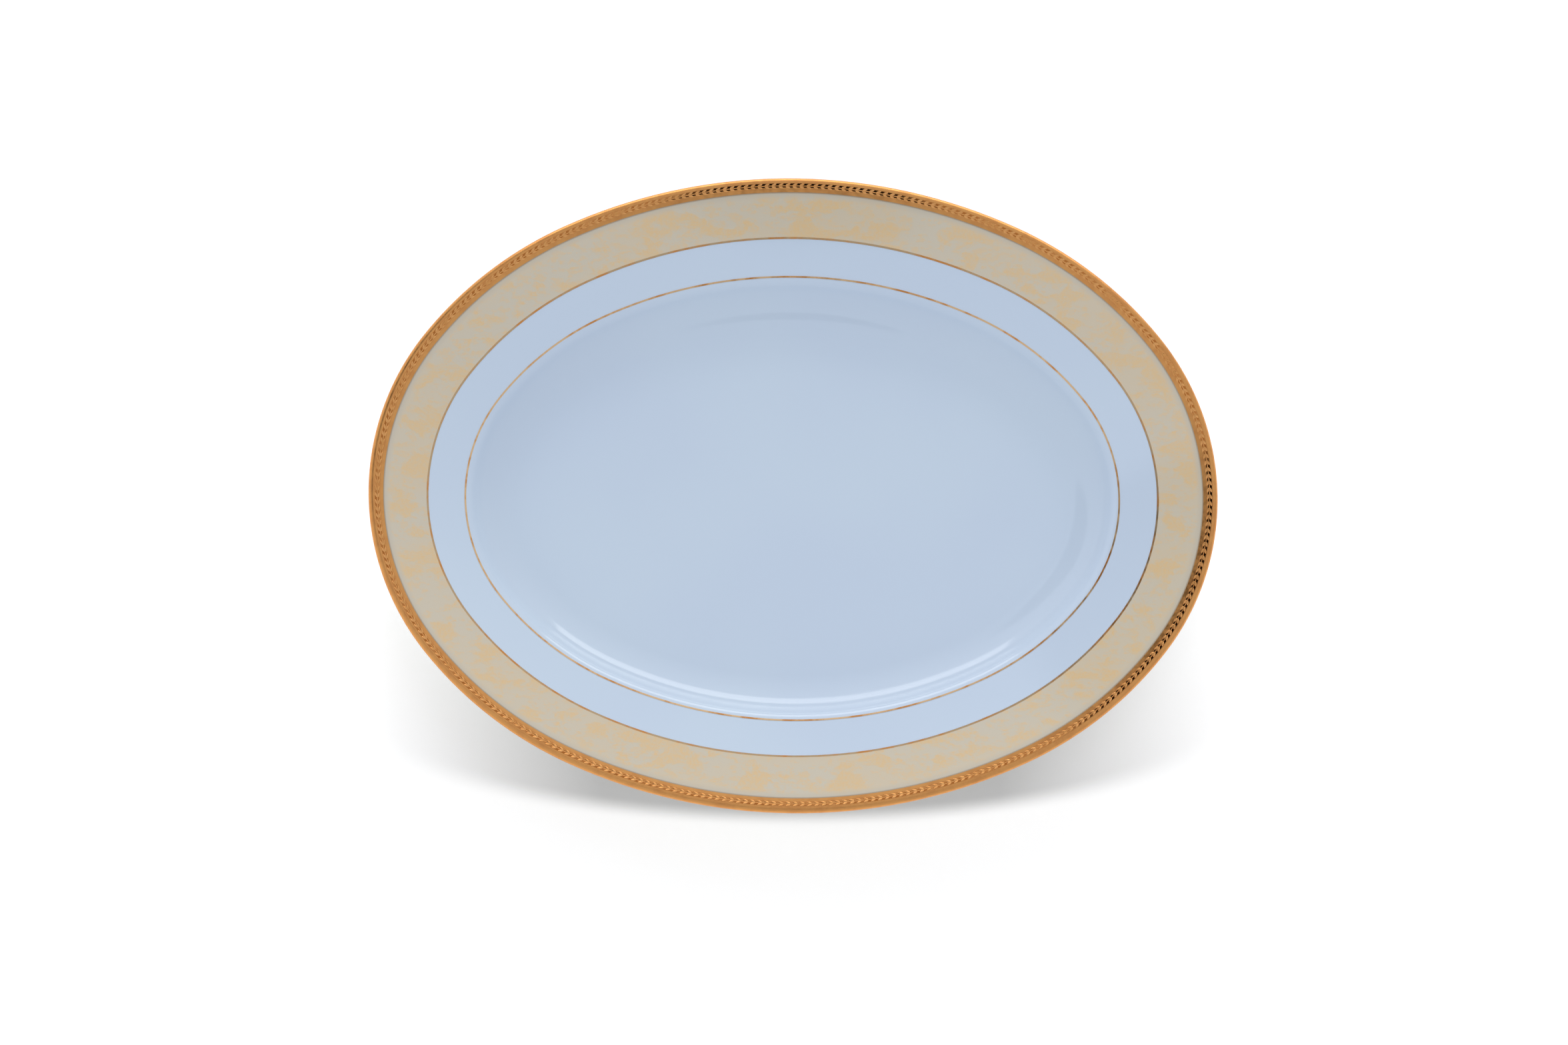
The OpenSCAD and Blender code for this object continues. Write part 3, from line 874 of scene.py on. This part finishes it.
class PLATTER_OT_stage(bpy.types.Operator):
    """Set up the pale floor, the soft light and the camera"""
    bl_idname = "platter.stage"
    bl_label = "Stage"
    bl_options = {"REGISTER", "UNDO"}

    def floor(self, stage):
        """A wide pale floor that glows a little, so that it stays white beside the china."""
        bpy.ops.object.select_all(action="DESELECT")
        bpy.ops.mesh.primitive_circle_add(vertices=96, radius=stage.floor_radius,
                                          fill_type="NGON")
        floor = bpy.context.object
        floor.name = "studio_floor"
        finish = Finish("studio_floor", FLOOR_PAINT, 0.9)
        finish.shader.inputs["Specular IOR Level"].default_value = 0
        finish.shader.inputs["Emission Color"].default_value = (*FLOOR_TINT, 1)
        self.shade(finish, stage)
        floor.data.materials.append(finish.material)

    def shade(self, finish, stage):
        """Darkens the floor in a soft oval, which fades towards its two ends."""
        place = finish.tree.nodes.new("ShaderNodeMapping")
        reach = Vector(SHADE_REACH)
        place.inputs["Scale"].default_value = (1 / reach.x, 1 / reach.y, 0)
        place.inputs["Location"].default_value = (-SHADE_CENTRE[0] / reach.x,
                                                  -SHADE_CENTRE[1] / reach.y, 0)
        finish.link(finish.where, place.inputs["Vector"])
        away = finish.tree.nodes.new("ShaderNodeVectorMath")
        away.operation = "LENGTH"
        finish.link(place.outputs["Vector"], away.inputs[0])
        parts = finish.tree.nodes.new("ShaderNodeSeparateXYZ")
        finish.link(place.outputs["Vector"], parts.inputs["Vector"])
        along = finish.math("ABSOLUTE", parts.outputs["X"])
        inside = finish.ramp(away.outputs["Value"], *SHADE_BORDER, to_low=1, to_high=0)
        depth = finish.ramp(along, *SHADE_ENDS, to_low=SHADE_DEPTH, to_high=0, straight=True)
        light = finish.math("SUBTRACT", 1, finish.math("MULTIPLY", inside, depth))
        finish.paint(finish.mix(light, (0, 0, 0), FLOOR_PAINT))
        finish.link(finish.math("MULTIPLY", light, stage.floor_glow),
                    finish.shader.inputs["Emission Strength"])

    def sky(self, stage):
        """Soft light that gets brighter towards the far left, with dark cards in it."""
        world = bpy.data.worlds.new("studio_sky")
        bpy.context.scene.world = world
        world.use_nodes = True
        tree = world.node_tree
        direction = tree.nodes.new("ShaderNodeTexCoord").outputs["Generated"]

        def towards(axis):
            dot = tree.nodes.new("ShaderNodeVectorMath")
            dot.operation = "DOT_PRODUCT"
            tree.links.new(direction, dot.inputs[0])
            dot.inputs[1].default_value = axis
            return dot.outputs["Value"]

        strength = map_range(tree, towards(SKY_AXIS), -1, 1, stage.near_light, stage.far_light,
                             straight=True)
        for axis, spread in DARK_CARDS:
            inner, outer = (cos(spread * border) for border in CARD_BORDER)
            card = map_range(tree, towards(Vector(axis).normalized()), outer, inner, 1, CARD_LIGHT)
            strength = put_together(tree, "MULTIPLY", strength, card)
        background = tree.nodes["Background"]
        background.inputs["Color"].default_value = (*stage.sky, 1)
        tree.links.new(strength, background.inputs["Strength"])

    def softbox(self, stage):
        """A rectangular soft light that faces the platter."""
        bpy.ops.object.light_add(type="AREA", location=SOFTBOX_PLACE)
        lamp = bpy.context.object
        lamp.name = "far_softbox"
        lamp.data.shape = "RECTANGLE"
        lamp.data.size, lamp.data.size_y = SOFTBOX_SIZE
        lamp.data.energy = stage.softbox_power
        lamp.rotation_euler = Vector(SOFTBOX_PLACE).to_track_quat("Z", "Y").to_euler()

    def camera(self, context, stage):
        """A long lens high above the platter, leaning a little to the near side."""
        tilt, yaw, roll = stage.camera_tilt, stage.camera_yaw, stage.camera_roll
        back = Vector((sin(yaw) * cos(tilt), -sin(tilt), cos(tilt) * cos(yaw))).normalized()
        level = Vector((0, 1, 0)).cross(back).normalized()
        upright = back.cross(level)
        right = level * cos(roll) + upright * sin(roll)
        up = upright * cos(roll) - level * sin(roll)
        lip = Vector((0, 0, EDGE_HIGH.z))
        place = (lip + back * stage.camera_distance + right * stage.camera_across
                 + up * stage.camera_up)
        turned = Matrix((right, up, back)).transposed().to_4x4()
        bpy.ops.object.camera_add()
        camera = bpy.context.object
        camera.name = "camera"
        camera.matrix_world = Matrix.Translation(place) @ turned
        camera.data.sensor_width = 36
        camera.data.sensor_fit = "HORIZONTAL"
        camera.data.lens = stage.camera_lens
        camera.data.clip_end = 100
        context.scene.camera = camera

    def execute(self, context):
        stage = context.scene.platter_stage
        context.scene.view_settings.view_transform = "Standard"
        self.floor(stage)
        self.sky(stage)
        self.softbox(stage)
        self.camera(context, stage)
        return {"FINISHED"}


OPERATORS = (
    PLATTER_OT_stage,
    PLATTER_OT_porcelain_body,
    PLATTER_OT_glaze,
    PLATTER_OT_ivory_band,
    PLATTER_OT_gold_edge,
    PLATTER_OT_gold_borders,
    PLATTER_OT_laurel,
    PLATTER_OT_gold_lines,
)


class PLATTER_PT_sidebar(bpy.types.Panel):
    """Lists the platter's sizes, its finishes and the steps that model it"""
    bl_idname = "PLATTER_PT_sidebar"
    bl_label = "Serving Platter"
    bl_space_type = "VIEW_3D"
    bl_region_type = "UI"
    bl_category = "Platter"

    def draw(self, context):
        for group in (context.scene.platter_sizes, context.scene.platter_finishes,
                      context.scene.platter_stage):
            box = self.layout.box()
            for name in group.bl_rna.properties.keys():
                if name not in ("rna_type", "name"):
                    box.prop(group, name)
        for operator in OPERATORS:
            self.layout.operator(operator.bl_idname)


CLASSES = (PlatterSizes, PlatterFinishes, StageSettings, *OPERATORS, PLATTER_PT_sidebar)


def register():
    """Registers the classes and hangs the settings on the scene."""
    for cls in CLASSES:
        bpy.utils.register_class(cls)
    bpy.types.Scene.platter_sizes = PointerProperty(type=PlatterSizes)
    bpy.types.Scene.platter_finishes = PointerProperty(type=PlatterFinishes)
    bpy.types.Scene.platter_stage = PointerProperty(type=StageSettings)


def unregister():
    """Takes the settings and the classes away again."""
    del bpy.types.Scene.platter_stage
    del bpy.types.Scene.platter_finishes
    del bpy.types.Scene.platter_sizes
    for cls in reversed(CLASSES):
        bpy.utils.unregister_class(cls)


def main():
    register()
    bpy.ops.platter.stage()
    bpy.ops.platter.porcelain_body()
    bpy.ops.platter.glaze()
    bpy.ops.platter.ivory_band()
    bpy.ops.platter.gold_edge()
    bpy.ops.platter.gold_borders()
    bpy.ops.platter.laurel()
    bpy.ops.platter.gold_lines()


if __name__ == "__main__":
    main()
